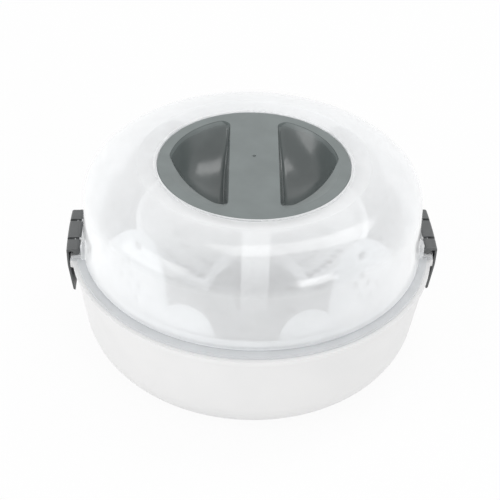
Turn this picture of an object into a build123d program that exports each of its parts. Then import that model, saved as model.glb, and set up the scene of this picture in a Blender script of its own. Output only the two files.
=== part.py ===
from build123d import *
import os
from math import cos, radians, sin, tan

# A microwave steam sterilizer for baby bottles. A bowl holds the water, a rack with a crown of
# arched petals stands the bottles over it, a small tray and a pair of tongs sit on the rack, and
# a domed lid with a recessed handle closes it with two hinged side latches.
# Millimetres. Z is up, X runs from latch to latch, and the camera side is -Y.
# The origin is the middle of the surface that the bowl stands on.

# Levels above the table
edge_level = 83.0                # plane on which the edge of the dome sits
rack_floor_level = 21.0          # top of the rack's floor, over the water

# Bowl
bowl_wall = 2.4
bowl_rim_radius = 132.6          # outside of the wall at its top
bowl_draft = 7.2                 # degrees that the wall leans in towards the foot
bowl_corner_radius = 30.0
bowl_rim_drop = 3.6              # rim of the bowl under the edge plane
bead_width = 0.9
bead_height = 3.3
foot_height = 1.2
foot_inset = 42.6                # inside of the foot ring, in from the rim
fill_mark_size = 1.0

# Flange of the rack, between the bowl and the dome
flange_inset = 2.1
flange_step = 1.4                # outer part of the flange under the edge plane
seat_inset = 6.1                 # raised seat under the dome, in from the flange
locating_rib = 1.4
locating_rib_height = 3.5
locating_gap = 0.8
spigot_height = 4.9
spigot_wall = 1.8
spigot_gap = 0.5

# Basket and petals of the rack
rack_wall = 2.0
seat_width = 5.8
basket_lean = 5.6                # how much narrower the basket is at its floor
basket_corner_radius = 9.0
petal_tip_lean = 16.6            # how far in from the basket's top the petals' tips come
petal_mid_lean = 4.2
petal_height = 52.0
petal_half_width = 36.0
petal_phase = -4.0               # degrees that the crown is turned from square
low_arch_half_width = 20.0
low_arch_height = 21.0
low_arch_offset = 20.5           # degrees each side of the middle between two petals
recess_half_width = 25.0
recess_height = 37.5
recess_depth = 0.8
recess_foot = 4.0
apex_hole_level = 44.0
apex_hole_width = 8.5
apex_hole_height = 5.0
petal_holes = [(-4.0, 31.5), (-11.0, 27.5), (0.5, 25.0), (-9.0, 19.5), (1.5, 15.5), (9.0, 20.5), (8.5, 9.5)]
bubble_radius = 2.7
drain_ring_radii = [34.0, 58.0, 84.0]
drain_ring_counts = [8, 12, 16]
drain_hole_radii = [4.0, 4.5, 5.0]

# Tongs
tongs_width = 19.5
tongs_thickness = 2.2
tongs_gap = 13.0
tongs_top = 49.0                 # above the edge plane
tongs_grip_pitch = 5.0
tongs_grip_count = 4
tongs_grip_radius = 0.8

# Post in the middle of the rack and the sleeve for the tongs
post_radius = 13.0
post_draft = 1.5
post_spigot_radius = 8.0
post_spigot_height = 5.0
sleeve_inset = 34.5              # middle of the tongs and their sleeve, in from the tray's rim
sleeve_side_gap = 4.25
sleeve_face_gap = 2.3
sleeve_height = 41.0
sleeve_flare = 4.0
sleeve_corner = 6.0
sleeve_window_width = 10.0
sleeve_window_height = 20.0

# Tray for teats and rings
tray_floor_rise = 7.0            # underside of the tray, and top of the post, above the edge plane
tray_wall = 1.8
tray_radius = 80.0
tray_lean = 3.5
tray_height = 11.0
tray_lip = 2.0
notch_half_width = 34.0
notch_gap = 3.4                  # behind the tongs
well_offset_x = 38.0
well_offset_y = 6.0
well_half_length = 22.0
well_half_width = 13.0
well_depth = 5.0
socket_gap = 0.3
socket_height = 4.0
tray_hole_radius = 3.0
tray_ring_radii = [54.0, 68.0]
tray_ring_counts = [5, 6]        # holes on each side of the notch
tray_ring_start = 34.0           # degrees from the middle of the notch
tray_ring_sweep = 30.0

# Handle
handle_radius = 69.0
handle_gap = 0.4
handle_thickness = 2.4
handle_turn = -2.2               # degrees that the handle is turned from square
handle_rim = 8.0                 # face left outside the pockets
bar_half_width = 17.6
pocket_corner = 6.5
pocket_draft = 9.0
pocket_depth = 27.0
pocket_ball_radius = 80.0
pocket_ball_offset = 22.0
pocket_wall = 2.2
pocket_front_radius = 112.0      # sweep of the pocket's front, inside the round mouth
pocket_front_x = -48.0
pocket_front_y = 34.0
pocket_ledge_slope = 19.0        # degrees that the ledge in front of it falls inwards
gate_mark_y = 8.0
gate_mark_radius = 1.3
gate_pin_radius = 0.5
gate_mark_depth = 0.5
hook_width = 12.0
hook_angles = [0.0, 70.0, 110.0, 180.0, 250.0, 290.0]
hook_thickness = 1.8
hook_lip = 1.6
hook_gap = 0.3

# Dome
dome_wall = 2.2
dome_inset = 5.5                 # outside of the dome's edge, in from the flange
dome_lean = 2.7
dome_wall_height = 41.0
shoulder_height = 26.4
dome_flat = 11.5                 # from the shoulder to the handle's collar
collar_width = 2.4
collar_height = 0.9
handle_sink = 1.8                # face of the handle under the top of the shoulder
ledge_width = 3.8
ledge_thickness = 2.4

# Latches, their hinges and the ears that they clamp
hinge_offset = 3.0               # hinge axis outside the dome's edge
hinge_rise = 4.0                 # hinge axis above the edge plane
pin_radius = 1.6
pin_gap = 0.1
barrel_radius = 2.6
eye_radius = 2.5
rib_spacing = 11.3
rib_thickness = 2.0
slot_width = 2.6
snap_gap = 2.8
ear_half_length = 25.0
lug_width = 0.7                  # flat face of the lug outside the bowl's wall
lug_corner = 2.7                 # how far the lug's ends reach outside the wall
lug_height = 6.6
ear_inset = 0.4                  # rack's ear inside the lug
dome_ear_inset = 1.0
dome_ear_top = 1.0
dome_ear_gap = 0.2
pad_half_length = 27.0
pad_depth = 0.5
pad_height = 22.0                # top of the pad against the dome, above the edge plane
latch_half_length = 24.5
latch_wall = 2.1
latch_gap = 0.3                  # between the lug and the latch
latch_bow = 500.0                # radius that the outside of the latch bulges to
latch_drop = 31.5                # lower end of the flap under the edge plane
latch_start = 0.6
latch_corner = 1.8
latch_bend = 12.0                # where the flap starts to lean in, under the hinge axis
latch_bend_radius = 60.0
latch_tip_lean = 2.7
latch_tip_radius = 1.4
latch_end_radius = 0.5
bite_gap = 0.15
bite_half_length = 9.0
bite_reach = 1.2                 # how far the bite comes in under the lug
bite_thickness = 3.4

# Radii and levels that follow from these
bowl_rim_level = edge_level - bowl_rim_drop
foot_inner_radius = bowl_rim_radius - foot_inset
flange_radius = bowl_rim_radius - flange_inset
seat_radius = flange_radius - seat_inset
basket_radius = seat_radius - seat_width
basket_floor_radius = basket_radius - basket_lean
petal_tip_radius = basket_radius - petal_tip_lean
petal_mid_radius = basket_radius - petal_mid_lean
tongs_depth = tongs_gap + 2 * tongs_thickness
sleeve_width = tongs_width + 2 * (sleeve_side_gap + rack_wall)
sleeve_depth = tongs_depth + 2 * (sleeve_face_gap + rack_wall)
tray_level = edge_level + tray_floor_rise
tray_rim_radius = tray_radius + tray_lean
sleeve_centre = sleeve_inset - tray_rim_radius
notch_depth = tray_rim_radius + tray_lip + sleeve_centre + tongs_depth / 2 + notch_gap
pocket_radius = handle_radius - handle_rim
handle_seat_radius = handle_radius + handle_gap
collar_radius = handle_seat_radius + collar_width
dome_radius = flange_radius - dome_inset
dome_wall_top_radius = dome_radius - dome_lean
shoulder_width = dome_wall_top_radius - collar_radius - dome_flat
shoulder_level = edge_level + dome_wall_height
handle_level = shoulder_level + shoulder_height - handle_sink
hinge_x = dome_radius + hinge_offset
hinge_level = edge_level + hinge_rise
lug_reach = bowl_rim_radius + lug_width
lug_radius = bowl_rim_radius + lug_corner
lug_bite_radius = hinge_rise + bowl_rim_drop + lug_height     # underside of the lug, about the hinge axis
latch_reach = lug_reach + latch_gap + latch_wall
quarter_turn = 90.0
sides = (1, -1)


def section(outline, rounded=()):
    """An upright face from (across, up) points, with some corners rounded."""
    face = make_face(Polyline(*outline, close=True))
    for point, radius in rounded:
        corner = face.vertices().sort_by_distance(Vector(*point))[0]
        face = fillet(corner, radius)
    return Plane.XZ * face


def turned(outline, rounded=()):
    """A solid of revolution from (radius, height) points, with some corners rounded."""
    return revolve(section(outline, rounded), Axis.Z)


def ring(inner, outer, low, high):
    """A plain ring about Z."""
    return turned([(inner, low), (outer, low), (outer, high), (inner, high)])


def slab(half_x, half_y, low, high, x=0.0, y=0.0):
    """An upright block about (x, y)."""
    return Pos(x, y, (low + high) / 2) * Box(2 * half_x, 2 * half_y, high - low)


def side_slab(side, x_low, x_high, half_y, low, high):
    """A block on the +X or -X side."""
    return slab((x_high - x_low) / 2, half_y, low, high, side * (x_low + x_high) / 2)


def radial_plane(azimuth, level):
    """A plane that looks outward at an azimuth, with its x along the rim and its y up."""
    a = radians(azimuth)
    return Plane(origin=(0, 0, level), x_dir=(-sin(a), cos(a), 0), z_dir=(cos(a), sin(a), 0))


def hinge_rod(side, radius, length):
    """A rod along the hinge axis of one latch."""
    return Pos(side * hinge_x, 0, hinge_level) * Rot(90, 0, 0) * Cylinder(radius, length)


def bowl_radius(level):
    """Outside radius of the bowl's wall at a level."""
    return bowl_rim_radius - (bowl_rim_level - level) * tan(radians(bowl_draft))


def make_base_bowl():
    """The opaque bowl: draughted wall, large corner, foot ring, bead and the two lugs."""
    floor = foot_height + bowl_wall
    outer = turned(
        [(0, 0), (bowl_radius(0), 0), (bowl_rim_radius, bowl_rim_level), (0, bowl_rim_level)],
        [((bowl_radius(0), 0), bowl_corner_radius)],
    )
    hollow_radius = bowl_radius(floor) - bowl_wall
    hollow = turned(
        [(0, floor), (hollow_radius, floor), (bowl_rim_radius - bowl_wall, bowl_rim_level), (0, bowl_rim_level)],
        [((hollow_radius, floor), bowl_corner_radius - bowl_wall)],
    )
    bowl = outer - hollow - Cylinder(foot_inner_radius, 2 * foot_height)
    bead_radius = bowl_rim_radius + bead_width
    bead = ring(bowl_rim_radius - bowl_wall, bead_radius, bowl_rim_level - bead_height, bowl_rim_level)
    bowl += bead & slab(lug_reach, 2 * bead_radius, 0, edge_level)
    wall_middle = bowl_rim_radius - bowl_wall / 2
    for side in sides:
        lug = ring(wall_middle, lug_radius, hinge_level - lug_bite_radius, bowl_rim_level)
        lug &= side_slab(side, 0, lug_reach, ear_half_length, 0, edge_level)
        lug &= hinge_rod(side, lug_bite_radius, 2 * ear_half_length)
        bowl += lug
    mark_inner = foot_inner_radius - fill_mark_size
    bowl += ring(mark_inner, foot_inner_radius, floor - bowl_wall / 2, floor + fill_mark_size)
    return bowl


def petal_band(outer_gap, inner_gap):
    """A layer of the curved surface that the petals are cut from."""
    low = edge_level - rack_wall
    tip = edge_level + petal_height
    middle = edge_level + petal_height / 2
    outer = ThreePointArc(
        (basket_radius - outer_gap, low), (petal_mid_radius - outer_gap, middle), (petal_tip_radius - outer_gap, tip)
    )
    inner = ThreePointArc(
        (basket_radius - inner_gap, low), (petal_mid_radius - inner_gap, middle), (petal_tip_radius - inner_gap, tip)
    )
    edges = [outer, Line(outer @ 1, inner @ 1), inner, Line(inner @ 0, outer @ 0)]
    return revolve(Plane.XZ * make_face(edges), Axis.Z)


def arch(azimuth, half_width, height):
    """A half-ellipse seen from outside, pushed out through the petals."""
    face = radial_plane(azimuth, edge_level) * Ellipse(half_width, height)
    return extrude(face, amount=flange_radius)


def crown_azimuths():
    """Where the tall petals and the low arches stand."""
    tall = [petal_phase + quarter_turn * (k + 1 / 2) for k in range(4)]
    low = [petal_phase + quarter_turn * k + side * low_arch_offset for k in range(4) for side in sides]
    return tall, low


def make_crown():
    """Four tall petals with bubbled recesses and eight low arches between them."""
    tall, low = crown_azimuths()
    arches = [arch(a, petal_half_width, petal_height) for a in tall]
    arches += [arch(a, low_arch_half_width, low_arch_height) for a in low]
    above = slab(flange_radius, flange_radius, edge_level - rack_wall, edge_level + petal_height)
    crown = petal_band(0, rack_wall) & (Part() + arches) & above
    skin = petal_band(-recess_depth, recess_depth)
    recesses = [arch(a, recess_half_width, recess_height) for a in tall]
    recesses = (Part() + recesses) & slab(flange_radius, flange_radius, edge_level + recess_foot, 2 * edge_level)
    crown -= skin & recesses
    for a in tall:
        plane = radial_plane(a, edge_level)
        holes = Pos(0, apex_hole_level) * Ellipse(apex_hole_width / 2, apex_hole_height / 2)
        for x, y in petal_holes:
            holes += Pos(x, y) * Circle(bubble_radius)
        crown -= extrude(plane * holes, amount=flange_radius)
    return crown


def sleeve_block(margin, low, high):
    """The sleeve's outside, or its inside with the wall as margin."""
    bottom = RectangleRounded(
        sleeve_width + 2 * sleeve_flare - 2 * margin, sleeve_depth + sleeve_flare - 2 * margin, sleeve_corner - margin
    )
    top = RectangleRounded(sleeve_width - 2 * margin, sleeve_depth - 2 * margin, sleeve_corner - margin)
    return Pos(0, sleeve_centre, 0) * loft([Pos(0, 0, low) * bottom, Pos(0, 0, high) * top])


def make_sleeve():
    """The upright sleeve that the tongs stand in, with a window in its front."""
    high = rack_floor_level + sleeve_height
    sleeve = sleeve_block(0, rack_floor_level - rack_wall / 2, high) - sleeve_block(rack_wall, rack_floor_level, high)
    front = sleeve_centre - sleeve_depth / 2
    window_low = high - sleeve_window_height
    return sleeve - slab(sleeve_window_width / 2, sleeve_depth / 4, window_low, high, 0, front)


def make_post():
    """The draughted post that carries the tray, and the hollow under it."""
    floor_low = rack_floor_level - rack_wall
    foot_radius = post_radius + (tray_level - rack_floor_level) * tan(radians(post_draft))
    crown = tray_level - rack_wall
    post = turned([(0, floor_low), (foot_radius, floor_low), (post_radius, tray_level), (0, tray_level)])
    core = turned(
        [(0, floor_low), (foot_radius - rack_wall, floor_low), (post_radius - rack_wall, crown), (0, crown)]
    )
    return post + ring(0, post_spigot_radius, crown, tray_level + post_spigot_height), core


def make_bottle_rack():
    """The frosted rack: basket, flange with ears, crown, post and sleeve in one moulding."""
    floor_low = rack_floor_level - rack_wall
    outer = turned(
        [(0, floor_low), (basket_floor_radius, floor_low), (basket_radius, edge_level), (0, edge_level)],
        [((basket_floor_radius, floor_low), basket_corner_radius)],
    )
    inner_floor = basket_floor_radius - rack_wall
    inner_top = basket_radius - rack_wall
    hollow = turned(
        [(0, rack_floor_level), (inner_floor, rack_floor_level), (inner_top, edge_level), (0, edge_level)],
        [((inner_floor, rack_floor_level), basket_corner_radius - rack_wall)],
    )
    rack = outer - hollow
    step_level = edge_level - flange_step
    rack += ring(inner_top, seat_radius, bowl_rim_level, edge_level)
    rack += ring(inner_top, flange_radius, bowl_rim_level, step_level)
    rib_outer = dome_radius - dome_wall - locating_gap
    rack += ring(rib_outer - locating_rib, rib_outer, step_level, edge_level + locating_rib_height)
    spigot_low = bowl_rim_level - spigot_height
    spigot_outer = bowl_radius(spigot_low) - bowl_wall - spigot_gap
    rack += ring(spigot_outer - spigot_wall, spigot_outer, spigot_low, step_level)
    ear_ring = ring(flange_radius - rack_wall, lug_radius - ear_inset, bowl_rim_level, step_level)
    for side in sides:
        rack += ear_ring & side_slab(side, 0, lug_reach - ear_inset, ear_half_length, 0, edge_level)
    rack += make_crown()
    for radius, count, hole in zip(drain_ring_radii, drain_ring_counts, drain_hole_radii):
        for k in range(count):
            spot = Rot(0, 0, 360 * (k + 1 / 2) / count) * Pos(radius, 0, rack_floor_level)
            rack -= spot * Cylinder(hole, 4 * rack_wall)
    post, core = make_post()
    rack += post
    rack -= core
    return rack + make_sleeve()


def make_accessory_tray():
    """The round upper tray with a notch for the tongs, two wells and bubble holes."""
    floor_top = tray_level + tray_wall
    rim = tray_level + tray_height
    outer = turned([(0, tray_level), (tray_radius, tray_level), (tray_rim_radius, rim), (0, rim)])
    hollow = turned(
        [(0, floor_top), (tray_radius - tray_wall, floor_top), (tray_rim_radius - tray_wall, rim), (0, rim)]
    )
    lip = ring(tray_rim_radius - tray_wall, tray_rim_radius + tray_lip, rim - tray_wall, rim)
    tray = outer - hollow + lip
    mouth = -tray_rim_radius - tray_lip
    notch = Plane.XY.offset(tray_level) * Pos(0, mouth) * Ellipse(notch_half_width, notch_depth)
    notch_wall = Plane.XY.offset(tray_level) * Pos(0, mouth) * Ellipse(
        notch_half_width + tray_wall, notch_depth + tray_wall
    )
    tray += extrude(notch_wall, amount=tray_height) & outer
    tray -= extrude(notch, amount=tray_height)
    for side in sides:
        spot = Pos(side * well_offset_x, -well_offset_y, 0)
        cup = Plane.XY.offset(tray_level - well_depth) * Ellipse(well_half_length, well_half_width)
        bore = Plane.XY.offset(tray_level - well_depth + tray_wall) * Ellipse(
            well_half_length - tray_wall, well_half_width - tray_wall
        )
        tray += spot * extrude(cup, amount=well_depth + tray_wall)
        tray -= spot * extrude(bore, amount=well_depth + tray_wall)
        for radius, count in zip(tray_ring_radii, tray_ring_counts):
            for k in range(count):
                azimuth = -quarter_turn + side * (tray_ring_start + tray_ring_sweep * k / (count - 1))
                hole_spot = Rot(0, 0, azimuth) * Pos(radius, 0, tray_level)
                tray -= hole_spot * Cylinder(tray_hole_radius, 4 * tray_wall)
    socket_radius = post_spigot_radius + socket_gap
    tray += ring(0, socket_radius + tray_wall, tray_level, floor_top + socket_height)
    tray -= ring(0, socket_radius, tray_level, floor_top + socket_height)
    return tray


def make_tongs():
    """Spring tongs in one bent strip, standing on their tips."""
    low = rack_floor_level
    bend_outer = tongs_depth / 2
    bend_level = edge_level + tongs_top - bend_outer
    middle = Pos(0, (low + bend_level) / 2)
    strip = Pos(0, bend_level) * Circle(bend_outer) + middle * Rectangle(tongs_depth, bend_level - low)
    strip -= Pos(0, bend_level) * Circle(tongs_gap / 2)
    strip -= middle * Rectangle(tongs_gap, bend_level - low)
    body = extrude(Plane.YZ * strip, amount=tongs_width / 2, both=True)
    ridges = []
    for k in range(tongs_grip_count):
        level = low + tongs_grip_pitch * (k + 1)
        for side in sides:
            place = Pos(0, side * tongs_gap / 2, level) * Rot(0, 90, 0)
            ridges.append(place * Cylinder(tongs_grip_radius, tongs_width))
    body += ridges
    return Pos(0, sleeve_centre, 0) * body


def shoulder_arc(margin):
    """The quarter ellipse over the dome's wall, or its inside with the wall as margin."""
    centre = (dome_wall_top_radius - shoulder_width, shoulder_level)
    return EllipticalCenterArc(centre, shoulder_width - margin, shoulder_height - margin, 0, arc_size=quarter_turn)


def dome_section():
    """Half of the dome's section, from its edge over the shoulder to the handle's seat."""
    seat_level = handle_level - handle_thickness
    hole = handle_seat_radius - ledge_width
    under = seat_level - ledge_thickness
    outer = shoulder_arc(0)
    inner = shoulder_arc(dome_wall)
    crest = ((handle_seat_radius + collar_radius) / 2, handle_level + collar_height)
    edges = [
        Line((dome_radius, edge_level), outer @ 0),
        outer,
        Line(outer @ 1, (collar_radius, handle_level)),
        ThreePointArc((collar_radius, handle_level), crest, (handle_seat_radius, handle_level)),
        Polyline((handle_seat_radius, handle_level), (handle_seat_radius, seat_level), (hole, seat_level),
                 (hole, under), (collar_radius, under), inner @ 1),
        inner,
        Polyline(inner @ 0, (dome_radius - dome_wall, edge_level), (dome_radius, edge_level)),
    ]
    return make_face(edges)


def dome_cavity():
    """The space under the dome and the seat of the rack, which the hinge pads leave free."""
    inner = shoulder_arc(dome_wall)
    seat_gap = seat_radius + dome_ear_gap
    edges = [
        Polyline((0, bowl_rim_level), (seat_gap, bowl_rim_level), (seat_gap, edge_level),
                 (dome_radius - dome_wall, edge_level), inner @ 0),
        inner,
        Polyline(inner @ 1, (0, (inner @ 1).Y), (0, bowl_rim_level)),
    ]
    return revolve(Plane.XZ * make_face(edges), Axis.Z)


def make_hinge_mount(side):
    """The dome's ear, the pad against its wall and the two thin ribs with the hinge eyes."""
    ear_low = edge_level - flange_step + dome_ear_gap
    ear_top = edge_level + dome_ear_top
    inside = dome_radius - 3 * dome_wall
    ear = ring(dome_radius - dome_wall, lug_radius - dome_ear_inset, ear_low, ear_top)
    ear &= side_slab(side, 0, lug_reach - dome_ear_inset, ear_half_length, 0, 2 * edge_level)
    pad_face = dome_radius - pad_depth
    outline = Polyline(
        (inside, ear_low), (pad_face, ear_low), (pad_face, edge_level + pad_height / 2),
        (inside, edge_level + pad_height), close=True,
    )
    pad = extrude(Plane.XZ * make_face(outline), amount=pad_half_length, both=True)
    mount = ear + (pad if side > 0 else mirror(pad, about=Plane.YZ))
    root = ear_top - dome_wall / 4
    half = rib_thickness / 2
    arm = side_slab(side, inside, hinge_x, half, root, hinge_level + eye_radius)
    foot = side_slab(side, hinge_x - eye_radius, hinge_x + eye_radius, half, root, hinge_level)
    rib = arm + foot + hinge_rod(side, eye_radius, rib_thickness)
    for end in sides:
        mount += Pos(0, end * rib_spacing, 0) * rib
    bore = hinge_rod(side, pin_radius + pin_gap, 2 * ear_half_length)
    half_mouth = snap_gap / 2
    mouth = side_slab(
        side, hinge_x - half_mouth, hinge_x + half_mouth, ear_half_length, hinge_level, hinge_level + 2 * eye_radius
    )
    return mount - bore - mouth


def make_dome_lid():
    """The frosted dome with its collar, the seat for the handle and two hinge mounts."""
    dome = revolve(Plane.XZ * dome_section(), Axis.Z)
    cavity = dome_cavity()
    for side in sides:
        dome += make_hinge_mount(side) - cavity
    return dome


def pocket(margin):
    """One finger pocket: a draughted D whose floor rises away from the bar, with a ledge in front."""
    disc = Circle(pocket_radius + margin)
    keep = Pos(pocket_radius + bar_half_width - margin, 0) * Rectangle(2 * pocket_radius, 4 * pocket_radius)
    mouth = disc & keep
    scoop = mouth & (Pos(pocket_front_x, pocket_front_y) * Circle(pocket_front_radius + margin))
    prisms = []
    for outline in (mouth, scoop):
        outline = Plane.XY.offset(handle_level) * fillet(outline.vertices(), pocket_corner + margin)
        prisms.append(extrude(outline, amount=-pocket_depth - margin, taper=pocket_draft))
    edge = pocket_radius + margin
    top = handle_level + handle_thickness
    fall = pocket_radius * tan(radians(pocket_ledge_slope))
    dish = turned([(0, top), (edge, top), (edge, handle_level - margin), (0, handle_level - margin - fall)])
    ball_level = handle_level - pocket_depth + pocket_ball_radius
    ball = Pos(pocket_ball_offset, 0, ball_level) * Sphere(pocket_ball_radius + margin)
    return (prisms[0] & dish) + (prisms[1] & ball)


def make_handle():
    """The grey handle: a disc with a bar across it and a smooth finger pocket on each side."""
    low = handle_level - handle_thickness
    disc = Pos(0, 0, (handle_level + low) / 2) * Cylinder(handle_radius, handle_thickness)
    rim = disc.edges().filter_by(GeomType.CIRCLE).sort_by(Axis.Z)[-1]
    handle = fillet(rim, handle_thickness / 3)
    shell = pocket(pocket_wall)
    space = pocket(0)
    handle += shell
    handle += mirror(shell, about=Plane.YZ)
    handle -= space
    handle -= mirror(space, about=Plane.YZ)
    mark = ring(gate_pin_radius, gate_mark_radius, handle_level - gate_mark_depth, handle_level)
    handle -= Pos(0, gate_mark_y, 0) * mark
    tab_outer = handle_seat_radius - ledge_width - hook_gap
    tab_inner = tab_outer - hook_thickness
    lip_level = low - ledge_thickness - hook_gap
    tab_low = lip_level - 2 * hook_lip
    tab = turned([
        (tab_inner, low), (tab_inner, tab_low), (tab_outer, tab_low),
        (tab_outer + hook_lip, lip_level), (tab_outer, lip_level), (tab_outer, low),
    ])
    for azimuth in hook_angles:
        hook = slab(handle_radius / 2, hook_width / 2, tab_low, low, handle_radius / 2)
        handle += tab & (Rot(0, 0, azimuth) * hook)
    return Rot(0, 0, handle_turn) * handle


def latch_side(inset):
    """Corner points of the latch's section, from its flat top down the flap, and the roundings."""
    top = hinge_level + barrel_radius - inset
    reach = latch_reach - inset
    bend = hinge_level - latch_bend
    low = edge_level - latch_drop
    corner = (reach, top)
    elbow = (reach, bend)
    tip = (reach - latch_tip_lean, low)
    return [corner, elbow, tip], [(corner, latch_corner), (elbow, latch_bend_radius), (tip, latch_tip_radius)]


def latch_shell():
    """The latch's skin over the ears and its flap: bowed outside, flat inside."""
    start = hinge_x + latch_start
    outer, outer_rounded = latch_side(0)
    inner, inner_rounded = latch_side(latch_wall)
    low = edge_level - latch_drop
    block = section([(start, hinge_level + barrel_radius), *outer, (start, low)], outer_rounded)
    axis = Axis((latch_reach - latch_bow, 0, 0), (0, 0, 1))
    shell = revolve(block, axis) & side_slab(1, hinge_x, 2 * hinge_x, latch_half_length, 0, 2 * edge_level)
    ends = shell.faces().filter_by(Axis.Y)
    rims = [edge for face in ends for edge in face.edges() if edge.center().X > hinge_x + 2 * latch_start]
    rims = [edge for edge in rims if edge.center().Z > low + latch_tip_radius]
    shell = fillet(rims, latch_end_radius)
    inside = hinge_x - latch_start
    hollow = section([(inside, inner[0][1]), *inner, (inside, low)], inner_rounded[1:2])
    return shell - extrude(hollow, amount=2 * latch_half_length, both=True)


def make_latch(side):
    """A latch on one side: three knuckles on one pin, a skin, a flap and the bite."""
    latch = latch_shell() + hinge_rod(1, barrel_radius, 2 * latch_half_length)
    bite_top = lug_bite_radius + bite_gap
    bite_tip = lug_reach - bite_reach
    bite_low = hinge_level - bite_top - bite_thickness
    bite = side_slab(1, bite_tip, latch_reach - latch_wall / 2, bite_half_length, bite_low, hinge_level)
    bite -= hinge_rod(1, bite_top, 2 * ear_half_length)
    bite &= side_slab(1, bite_tip, 2 * hinge_x, bite_half_length, 0, hinge_level - lug_bite_radius / 2)
    latch += bite
    slot = side_slab(1, dome_radius, 2 * hinge_x, slot_width / 2, edge_level - hinge_rise, 2 * edge_level)
    for end in sides:
        latch -= Pos(0, end * rib_spacing, 0) * slot
    latch += hinge_rod(1, pin_radius, 2 * latch_half_length)
    return latch if side > 0 else mirror(latch, about=Plane.YZ)


def main():
    os.makedirs("parts", exist_ok=True)
    parts = {
        "base_bowl": make_base_bowl(),
        "bottle_rack": make_bottle_rack(),
        "accessory_tray": make_accessory_tray(),
        "tongs": make_tongs(),
        "dome_lid": make_dome_lid(),
        "handle": make_handle(),
        "right_latch": make_latch(1),
        "left_latch": make_latch(-1),
    }
    for name, shape in parts.items():
        export_step(shape, f"parts/{name}.step")


main()
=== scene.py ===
from math import cos, exp, hypot, pi, radians, sin, sqrt, tan

import bpy
from mathutils import Matrix, Vector


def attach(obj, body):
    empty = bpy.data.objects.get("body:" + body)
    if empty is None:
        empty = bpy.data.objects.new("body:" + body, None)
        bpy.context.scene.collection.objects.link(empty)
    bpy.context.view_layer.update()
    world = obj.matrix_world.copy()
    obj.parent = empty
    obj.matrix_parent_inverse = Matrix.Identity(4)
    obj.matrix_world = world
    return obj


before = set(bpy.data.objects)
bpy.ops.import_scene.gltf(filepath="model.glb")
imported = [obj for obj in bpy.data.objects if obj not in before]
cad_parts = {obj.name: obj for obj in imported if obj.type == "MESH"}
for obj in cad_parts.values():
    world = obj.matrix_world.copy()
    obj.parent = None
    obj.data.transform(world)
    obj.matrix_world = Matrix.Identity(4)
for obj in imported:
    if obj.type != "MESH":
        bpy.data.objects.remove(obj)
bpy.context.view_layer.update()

# The camera, worked out from the rings of the photograph: degrees, metres and millimetres of film
EDGE_LEVEL = 0.083               # plane of the dome's lower edge, which the camera is fitted to
CAMERA_ELEVATION = 37.03
CAMERA_DISTANCE = 0.8276
CAMERA_YAW = -3.39
CAMERA_PAN = -0.066
CAMERA_TILT = -0.743
CAMERA_ROLL = 1.936
SENSOR_WIDTH = 36.0
LENS = 79.72

# The studio: metres, and shares of full white
LAMP_DISTANCE = 4.5
WORLD_STRENGTH = 0.78
FLOOR_REACH = 6.0
FLOOR_TONE = 0.78
FLOOR_ROUGHNESS = 0.9
FLOOR_GLOW = 0.93                # share of plain white where it is seen; the rest shows the shadow
TRANSPARENT_BOUNCES = 32         # enough for both faces of the dome, the tray and the rack's petals

# Lamps: azimuth, elevation and roll in degrees, width and height in metres, watts
SOFTBOXES = {
    "overhead_softbox": (47, 69, 60, (4.1, 1.55), 58.0),
    "left_softbox": (-158, 17, 0, (3.4, 3.45), 88.0),
    "right_softbox": (-53, 14, 0, (1.9, 1.7), 50.0),
}

# Plastics in general; a grain is the size of its lumps and their height, in metres
WHITE = (1.0, 1.0, 1.0)
POLYPROPYLENE_IOR = 1.49
NOISE_RANGE = (0.35, 0.65)       # where nearly all of a noise texture's values lie
GRAIN_DETAIL = 3.0

# The opaque white bowl: lumps in metres
BOWL_TONES = ((0.71, 0.71, 0.71), (0.735, 0.733, 0.732))
BOWL_TONE_LUMP = 0.05
BOWL_ROUGHNESS = (0.30, 0.38)
BOWL_ROUGHNESS_LUMP = 0.012
BOWL_GRAIN = (0.0006, 0.00002)

# The frosted pieces: a clear share, a milky share over it (the veil) and a gloss outside
CLEAR_TINT = (0.972, 0.977, 0.98)
MILK_MOTTLE = 1.02               # how much lighter its lightest lumps are
MILK_TONE_LUMP = 0.03
MILK_ROUGHNESS = (0.45, 0.55)
MILK_ROUGHNESS_LUMP = 0.01
MILK_GRAIN = (0.0006, 0.00001)
VEIL_VARIATION = 0.03
VEIL_LUMP = 0.02
VEIL_EDGE_POWER = 1.15
FACING_BLEND = 0.5
GLANCE_HEAD_ON = 0.04            # what a plastic face mirrors head on
GLANCE_POWER = 5.0

# The grey pieces, and the smoother inside of the handle's pockets, darkened there by painted shade
GREY_IOR = 1.55
GREY_MOTTLE = 1.12
GREY_TONE_LUMP = 0.02
GREY_ROUGHNESS = 0.38
GREY_ROUGHNESS_VARIATION = 0.1
GREY_ROUGHNESS_LUMP = 0.008
GREY_GRAIN = (0.0005, 0.00002)
SHADE_AND_POLISH_LEVEL = 0.1475            # from here down, after the blend, it is polished and darkened by painted shade
SHADE_AND_POLISH_BLEND = 0.003
POCKET_PAINTED_SHADE = 0.7            # share of the colour that is left there: painted shade for the pockets' recess
POLISH_ROUGHNESS = 0.19

# Rounds that the scene gives to sharp edges: metres and degrees
HANDLE_EDGE = 0.0005
LATCH_EDGE = 0.0003
EDGE_SEGMENTS = 2
EDGE_ANGLE = 35

# The handle's finger pockets, as in the part's source: metres and degrees
HANDLE_LEVEL = 0.1486
HANDLE_TURN = -2.2
BAR_HALF_WIDTH = 0.0176
POCKET_RADIUS = 0.061
POCKET_DEPTH = 0.027
POCKET_CORNER = 0.0065
POCKET_DRAFT = 9.0
POCKET_BALL_RADIUS = 0.080
POCKET_BALL_OFFSET = 0.022
POCKET_FRONT = (-0.048, 0.034)
POCKET_FRONT_RADIUS = 0.112
POCKET_LEDGE_SLOPE = 19.0        # of the ledge that falls inwards from the round mouth

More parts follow.
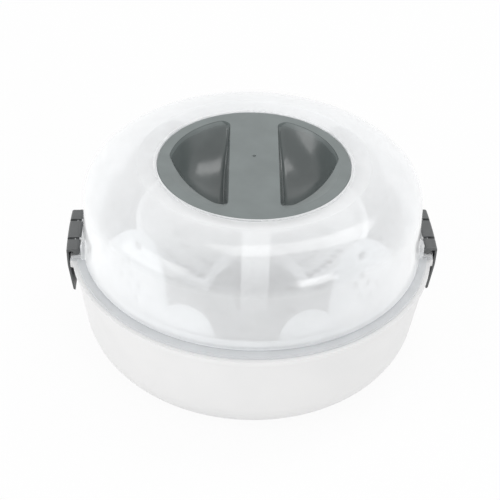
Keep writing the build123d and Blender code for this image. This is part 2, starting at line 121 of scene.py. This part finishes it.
# The skins that smooth the pockets: metres
LINER_GAP = 0.00025              # the skin's distance from the solid pocket's faces
LINER_LAP = 4 * LINER_GAP        # how far it runs past the foot of the bar's wall
LINER_SWEEP = 0.0065             # how far the outer wall sweeps into the floor
LINER_FILLET = 0.0035            # round between the bar's wall and the floor
LINER_MIDDLE = (0.036, 0.006)    # where its spokes start
LINER_SPOKES = 120
LINER_RINGS = 28
LINER_CROWDING = 1.6             # power by which its rings draw together towards the outline
OUTLINE_HALVINGS = 30            # steps of the search for the outline along a spoke


def turn(first, second, degrees):
    """Turns the first direction towards the second, and the second away from the first."""
    a = radians(degrees)
    return cos(a) * first + sin(a) * second, cos(a) * second - sin(a) * first


def place(name, data):
    """A new object of the scene."""
    thing = bpy.data.objects.new(name, data)
    bpy.context.scene.collection.objects.link(thing)
    return thing


def make_camera():
    """The photograph's camera, aimed at the middle of the edge plane."""
    e = radians(CAMERA_ELEVATION)
    offset = CAMERA_DISTANCE * Vector((0, -cos(e), sin(e)))
    forward = -offset.normalized()
    right = Vector((1, 0, 0))
    up = right.cross(forward)
    forward, right = turn(forward, right, CAMERA_PAN)
    forward, up = turn(forward, up, CAMERA_TILT)
    right, up = turn(right, up, CAMERA_ROLL)
    axes = Matrix((right, up, -forward)).transposed().to_4x4()
    yaw = Matrix.Rotation(radians(CAMERA_YAW), 4, "Z")
    data = bpy.data.cameras.new("camera")
    data.sensor_width = SENSOR_WIDTH
    data.lens = LENS
    camera = place("camera", data)
    camera.matrix_world = yaw @ Matrix.Translation(offset + Vector((0, 0, EDGE_LEVEL))) @ axes
    bpy.context.scene.camera = camera


def rgba(colour, share=1.0):
    """An opaque colour, brightened or dimmed to a share of itself."""
    return tuple(min(1.0, c * share) for c in colour) + (1.0,)


def feed(links, socket, value):
    """Links a socket to another one, or sets it to a constant."""
    if isinstance(value, bpy.types.NodeSocket):
        links.new(value, socket)
    else:
        socket.default_value = value


def new_material(name, **constants):
    """A Principled material with its constant sockets set; returns it with its nodes at hand."""
    material = bpy.data.materials.new(name)
    material.use_nodes = True
    nodes = material.node_tree.nodes
    shader = nodes["Principled BSDF"]
    for socket, value in constants.items():
        shader.inputs[socket.replace("_", " ")].default_value = value
    return material, nodes, material.node_tree.links, shader


def position(nodes):
    """Object coordinates, in metres."""
    return nodes.new("ShaderNodeTexCoord").outputs["Object"]


def noise(nodes, links, size, detail=2.0):
    """Noise whose lumps are about size metres across."""
    texture = nodes.new("ShaderNodeTexNoise")
    texture.inputs["Scale"].default_value = 1.0 / size
    texture.inputs["Detail"].default_value = detail
    links.new(position(nodes), texture.inputs["Vector"])
    return texture.outputs["Fac"]


def ramp(nodes, links, source, low, high):
    """A colour between low and high, each a socket or a constant, by a 0 to 1 source."""
    mixer = nodes.new("ShaderNodeMix")
    mixer.data_type = "RGBA"
    feed(links, mixer.inputs["A"], low)
    feed(links, mixer.inputs["B"], high)
    links.new(source, mixer.inputs["Factor"])
    return mixer.outputs["Result"]


def spread(nodes, links, source, to_range, from_range=NOISE_RANGE):
    """Maps a source from one range to another."""
    mapper = nodes.new("ShaderNodeMapRange")
    mapper.inputs["From Min"].default_value = from_range[0]
    mapper.inputs["From Max"].default_value = from_range[1]
    mapper.inputs["To Min"].default_value = to_range[0]
    mapper.inputs["To Max"].default_value = to_range[1]
    links.new(source, mapper.inputs["Value"])
    return mapper.outputs["Result"]


def mottle(nodes, links, size, low=0.0, high=1.0):
    """Soft noise between low and high, with lumps about size metres across."""
    return spread(nodes, links, noise(nodes, links, size), (low, high))


def calc(nodes, links, operation, first, second):
    """A math node of two inputs, each a socket or a number."""
    node = nodes.new("ShaderNodeMath")
    node.operation = operation
    feed(links, node.inputs[0], first)
    feed(links, node.inputs[1], second)
    return node.outputs["Value"]


def mix_shaders(nodes, links, factor, first, second):
    """A mix of two shader sockets, by a socket or a number."""
    mixer = nodes.new("ShaderNodeMixShader")
    feed(links, mixer.inputs["Fac"], factor)
    links.new(first, mixer.inputs[1])
    links.new(second, mixer.inputs[2])
    return mixer.outputs["Shader"]


def grain(nodes, links, shader, size, height):
    """Fine moulded texture as bump."""
    bump = nodes.new("ShaderNodeBump")
    bump.inputs["Distance"].default_value = height
    links.new(noise(nodes, links, size, GRAIN_DETAIL), bump.inputs["Height"])
    links.new(bump.outputs["Normal"], shader.inputs["Normal"])


def white_plastic():
    """Opaque white polypropylene, satin, with a very soft waviness."""
    material, nodes, links, shader = new_material("white_polypropylene", IOR=POLYPROPYLENE_IOR)
    tone = mottle(nodes, links, BOWL_TONE_LUMP)
    tint = ramp(nodes, links, tone, rgba(BOWL_TONES[0]), rgba(BOWL_TONES[1]))
    links.new(tint, shader.inputs["Base Color"])
    sheen = mottle(nodes, links, BOWL_ROUGHNESS_LUMP, *BOWL_ROUGHNESS)
    links.new(sheen, shader.inputs["Roughness"])
    grain(nodes, links, shader, *BOWL_GRAIN)
    return material


def gloss_share(nodes, links, facing, gloss):
    """How much an outer face mirrors: little head on, all of it at a glance, nothing from inside."""
    rise = calc(nodes, links, "POWER", facing, GLANCE_POWER)
    rise = calc(nodes, links, "MULTIPLY", rise, 1.0 - GLANCE_HEAD_ON)
    rise = calc(nodes, links, "ADD", rise, GLANCE_HEAD_ON)
    back = nodes.new("ShaderNodeNewGeometry").outputs["Backfacing"]
    front = calc(nodes, links, "SUBTRACT", 1.0, back)
    return calc(nodes, links, "MULTIPLY", rise, calc(nodes, links, "MULTIPLY", front, gloss))


def veil_share(nodes, links, facing, veil, edge_veil, shade):
    """How much of a wall is milk: more where it is seen on edge, less for light on its way through."""
    edge = calc(nodes, links, "POWER", facing, VEIL_EDGE_POWER)
    extra = calc(nodes, links, "MULTIPLY", edge, edge_veil - veil)
    least, most = veil * (1 - VEIL_VARIATION), veil * (1 + VEIL_VARIATION)
    share = calc(nodes, links, "ADD", extra, mottle(nodes, links, VEIL_LUMP, least, most))
    shadow = nodes.new("ShaderNodeLightPath").outputs["Is Shadow Ray"]
    thinning = calc(nodes, links, "MULTIPLY", shadow, 1.0 - shade)
    return calc(nodes, links, "MULTIPLY", share, calc(nodes, links, "SUBTRACT", 1.0, thinning))


def frosted_plastic(name, colour, veil, edge_veil, through, gloss, rough, shade=1.0):
    """Natural polypropylene: a milky veil, thicker where the wall is seen on edge, under a gloss.

    Through is the share of the milk that glows with light from behind, rough the gloss's
    roughness, and shade the share of the veil that dims light on its way through.
    """
    material, nodes, links, shader = new_material(name, IOR=POLYPROPYLENE_IOR)
    material.surface_render_method = "BLENDED"
    tone = mottle(nodes, links, MILK_TONE_LUMP)
    tint = ramp(nodes, links, tone, rgba(colour), rgba(colour, MILK_MOTTLE))
    links.new(tint, shader.inputs["Base Color"])
    sheen = mottle(nodes, links, MILK_ROUGHNESS_LUMP, *MILK_ROUGHNESS)
    links.new(sheen, shader.inputs["Roughness"])
    shader.inputs["Specular IOR Level"].default_value = 0.0
    grain(nodes, links, shader, *MILK_GRAIN)
    scatter = nodes.new("ShaderNodeBsdfTranslucent")
    links.new(tint, scatter.inputs["Color"])
    milk = mix_shaders(nodes, links, through, shader.outputs["BSDF"], scatter.outputs["BSDF"])
    clear = nodes.new("ShaderNodeBsdfTransparent")
    clear.inputs["Color"].default_value = rgba(CLEAR_TINT)
    layer = nodes.new("ShaderNodeLayerWeight")
    layer.inputs["Blend"].default_value = FACING_BLEND
    facing = layer.outputs["Facing"]
    share = veil_share(nodes, links, facing, veil, edge_veil, shade)
    body = mix_shaders(nodes, links, share, clear.outputs["BSDF"], milk)
    shine = nodes.new("ShaderNodeBsdfAnisotropic")
    shine.inputs["Color"].default_value = rgba(WHITE)
    shine.inputs["Roughness"].default_value = rough
    glance = gloss_share(nodes, links, facing, gloss)
    skin = mix_shaders(nodes, links, glance, body, shine.outputs["BSDF"])
    links.new(skin, nodes["Material Output"].inputs["Surface"])
    return material


def grey_plastic(name, colour, shaded_and_polished=False):
    """Coloured satin plastic with a fine spark-eroded grain; if shaded and polished, its pockets are
    smoother and their colour is darkened by painted shade.
    """
    material, nodes, links, shader = new_material(name, IOR=GREY_IOR)
    tone = mottle(nodes, links, GREY_TONE_LUMP)
    tint = ramp(nodes, links, tone, rgba(colour), rgba(colour, GREY_MOTTLE))
    smoothest = GREY_ROUGHNESS * (1 - GREY_ROUGHNESS_VARIATION)
    roughest = GREY_ROUGHNESS * (1 + GREY_ROUGHNESS_VARIATION)
    sheen = mottle(nodes, links, GREY_ROUGHNESS_LUMP, smoothest, roughest)
    if shaded_and_polished:
        split = nodes.new("ShaderNodeSeparateXYZ")
        links.new(position(nodes), split.inputs["Vector"])
        depth = (SHADE_AND_POLISH_LEVEL - SHADE_AND_POLISH_BLEND, SHADE_AND_POLISH_LEVEL)
        # low masks the pockets, both for their smoother finish and for their painted shade
        low = spread(nodes, links, split.outputs["Z"], (1.0, 0.0), depth)
        # painted shade: the pockets' colour is dimmed to stand in for the shade in the recess
        light = rgba(colour, GREY_MOTTLE * POCKET_PAINTED_SHADE)
        painted_shade_tint = ramp(nodes, links, tone, rgba(colour, POCKET_PAINTED_SHADE), light)
        tint = ramp(nodes, links, low, tint, painted_shade_tint)
        fall = calc(nodes, links, "MULTIPLY", low, GREY_ROUGHNESS - POLISH_ROUGHNESS)
        sheen = calc(nodes, links, "SUBTRACT", sheen, fall)
    links.new(tint, shader.inputs["Base Color"])
    links.new(sheen, shader.inputs["Roughness"])
    grain(nodes, links, shader, *GREY_GRAIN)
    return material


def dress(node, material, edge=0.0):
    """Gives a CAD node its material, and its sharp edges a small round."""
    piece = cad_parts[node]
    piece.data.materials.clear()
    piece.data.materials.append(material)
    if edge:
        bevel = piece.modifiers.new("edges", "BEVEL")
        bevel.width = edge
        bevel.segments = EDGE_SEGMENTS
        bevel.limit_method = "ANGLE"
        bevel.angle_limit = radians(EDGE_ANGLE)
        bevel.use_clamp_overlap = True
        bevel.harden_normals = True


def pocket_floor(x, y):
    """Level of the solid pocket's ball-shaped floor."""
    fall = sqrt(POCKET_BALL_RADIUS ** 2 - (x - POCKET_BALL_OFFSET) ** 2 - y * y)
    return HANDLE_LEVEL - POCKET_DEPTH + POCKET_BALL_RADIUS - fall


def wall_foot(x, y):
    """Distance of the bar's draughted wall from the middle, where it meets the floor."""
    height = max(0.0, HANDLE_LEVEL - pocket_floor(x, y))
    return BAR_HALF_WIDTH + tan(radians(POCKET_DRAFT)) * height


def pocket_margins(x, y):
    """Distances inside the bar's wall, the round mouth and the pocket's front."""
    bar = x - wall_foot(x, y) + LINER_LAP
    mouth = POCKET_RADIUS - hypot(x, y) - LINER_GAP
    front = POCKET_FRONT_RADIUS - hypot(x - POCKET_FRONT[0], y - POCKET_FRONT[1]) - LINER_GAP
    return bar, mouth, front


def in_pocket(x, y):
    """Whether a point is inside the pocket's outline with its rounded corners."""
    bar, mouth, front = [max(0.0, POCKET_CORNER - margin) for margin in pocket_margins(x, y)]
    return hypot(bar, max(mouth, front)) <= POCKET_CORNER


def liner_level(x, y):
    """Level of the skin: the outer wall sweeps into the floor, with a round at the bar's wall."""
    floor = pocket_floor(x, y) + LINER_GAP
    _, mouth, front = pocket_margins(x, y)
    fall = (POCKET_RADIUS - hypot(x, y)) * tan(radians(POCKET_LEDGE_SLOPE))
    ledge = HANDLE_LEVEL - LINER_GAP - fall
    sweep = max(0.0, ledge - floor) * exp(-max(0.0, min(mouth, front)) / LINER_SWEEP)
    reach = min(max(0.0, x - wall_foot(x, y)), LINER_FILLET)
    fillet = LINER_FILLET - sqrt(LINER_FILLET ** 2 - (LINER_FILLET - reach) ** 2)
    return min(floor + sweep + fillet, ledge)


def along_spoke(angle, distance):
    """The point at a distance from the skin's middle."""
    return LINER_MIDDLE[0] + distance * cos(angle), LINER_MIDDLE[1] + distance * sin(angle)


def outline_distance(angle):
    """How far the pocket's outline is from the skin's middle, found by halving."""
    near, far = 0.0, POCKET_RADIUS
    for _ in range(OUTLINE_HALVINGS):
        half = (near + far) / 2
        if in_pocket(*along_spoke(angle, half)):
            near = half
        else:
            far = half
    return near


def make_pocket_skin(name, side, material):
    """The smooth inside of one finger pocket, laid over the solid pocket."""
    points = [(*LINER_MIDDLE, liner_level(*LINER_MIDDLE))]
    faces = []
    for spoke in range(LINER_SPOKES):
        angle = 2 * pi * spoke / LINER_SPOKES
        outline = outline_distance(angle)
        for step in range(1, LINER_RINGS + 1):
            distance = outline * (1 - (1 - step / LINER_RINGS) ** LINER_CROWDING)
            x, y = along_spoke(angle, distance)
            points.append((x, y, liner_level(x, y)))
        here = 1 + spoke * LINER_RINGS
        there = 1 + (spoke + 1) % LINER_SPOKES * LINER_RINGS
        faces.append((0, here, there))
        for step in range(LINER_RINGS - 1):
            faces.append((here + step, here + step + 1, there + step + 1, there + step))
    if side < 0:
        points = [(-x, y, z) for x, y, z in points]
        faces = [face[::-1] for face in faces]
    spin = Matrix.Rotation(radians(HANDLE_TURN), 4, "Z")
    mesh = bpy.data.meshes.new("pocket_skin")
    mesh.from_pydata([tuple(spin @ Vector(point)) for point in points], [], faces)
    mesh.shade_smooth()
    mesh.materials.append(material)
    skin = place(name, mesh)
    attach(skin, "dome_lid")


def seen_rays(nodes, links):
    """1 for rays that show the background: from the camera, by a gloss or through glass."""
    path = nodes.new("ShaderNodeLightPath")
    direct, mirrored = path.outputs["Is Camera Ray"], path.outputs["Is Glossy Ray"]
    seen = calc(nodes, links, "MAXIMUM", direct, mirrored)
    return calc(nodes, links, "MAXIMUM", seen, path.outputs["Is Transmission Ray"])


def make_floor():
    """A plain white floor that keeps the object's soft shadow."""
    corners = [(-1, -1), (1, -1), (1, 1), (-1, 1)]
    mesh = bpy.data.meshes.new("floor")
    mesh.from_pydata([(x * FLOOR_REACH, y * FLOOR_REACH, 0) for x, y in corners], [], [(0, 1, 2, 3)])
    floor = place("floor", mesh)
    material, nodes, links, shader = new_material("floor_white", Roughness=FLOOR_ROUGHNESS)
    shader.inputs["Base Color"].default_value = rgba(WHITE, FLOOR_TONE)
    shader.inputs["Specular IOR Level"].default_value = 0.0
    glow = nodes.new("ShaderNodeEmission")
    glow.inputs["Color"].default_value = rgba(WHITE)
    share = calc(nodes, links, "MULTIPLY", seen_rays(nodes, links), FLOOR_GLOW)
    surface = mix_shaders(nodes, links, share, shader.outputs["BSDF"], glow.outputs["Emission"])
    links.new(surface, nodes["Material Output"].inputs["Surface"])
    mesh.materials.append(material)


def make_world():
    """Even studio light, and a white background for the camera."""
    world = bpy.data.worlds.new("studio")
    world.use_nodes = True
    bpy.context.scene.world = world
    nodes, links = world.node_tree.nodes, world.node_tree.links
    nodes["Background"].inputs["Color"].default_value = rgba(WHITE)
    strength = spread(nodes, links, seen_rays(nodes, links), (WORLD_STRENGTH, 1.0), (0.0, 1.0))
    links.new(strength, nodes["Background"].inputs["Strength"])


def softbox(name, azimuth, elevation, roll, size, power):
    """A soft rectangular lamp aimed at the middle of the edge plane."""
    a, e = radians(azimuth), radians(elevation)
    away = Vector((cos(a) * cos(e), sin(a) * cos(e), sin(e)))
    data = bpy.data.lights.new(name, "AREA")
    data.shape = "RECTANGLE"
    data.size, data.size_y = size
    data.energy = power
    aim = (-away).to_track_quat("-Z", "Y").to_matrix().to_4x4()
    spin = Matrix.Rotation(radians(roll), 4, "Z")
    stand = Matrix.Translation(LAMP_DISTANCE * away + Vector((0, 0, EDGE_LEVEL)))
    place(name, data).matrix_world = stand @ aim @ spin


bpy.context.scene.view_settings.view_transform = "Standard"
bpy.context.scene.cycles.transparent_max_bounces = TRANSPARENT_BOUNCES
make_camera()
make_floor()
make_world()
for lamp, setting in SOFTBOXES.items():
    softbox(lamp, *setting)

bowl_white = white_plastic()
dome_frost = frosted_plastic("frosted_dome", (0.945, 0.95, 0.956), veil=0.32, edge_veil=0.98,
                             through=0.22, gloss=1.0, rough=0.12, shade=0.15)
rack_frost = frosted_plastic("frosted_rack", (0.73, 0.745, 0.76), veil=0.84, edge_veil=0.97,
                             through=0.2, gloss=0.6, rough=0.25, shade=0.75)
tray_frost = frosted_plastic("frosted_tray", (0.9, 0.91, 0.92), veil=0.92, edge_veil=0.97,
                             through=0.12, gloss=0.6, rough=0.25, shade=0.9)
tongs_white = frosted_plastic("white_tongs", (0.92, 0.92, 0.92), veil=1.0, edge_veil=1.0,
                              through=0.1, gloss=0.6, rough=0.3)
handle_grey = grey_plastic("handle_grey", (0.142, 0.163, 0.162), shaded_and_polished=True)
latch_grey = grey_plastic("latch_grey", (0.078, 0.082, 0.083))

dress("base_bowl", bowl_white)
dress("dome_lid", dome_frost)
dress("bottle_rack", rack_frost)
dress("accessory_tray", tray_frost)
dress("tongs", tongs_white)
dress("handle", handle_grey, HANDLE_EDGE)
make_pocket_skin("right_pocket_skin", 1, handle_grey)
make_pocket_skin("left_pocket_skin", -1, handle_grey)
dress("right_latch", latch_grey, LATCH_EDGE)
dress("left_latch", latch_grey, LATCH_EDGE)
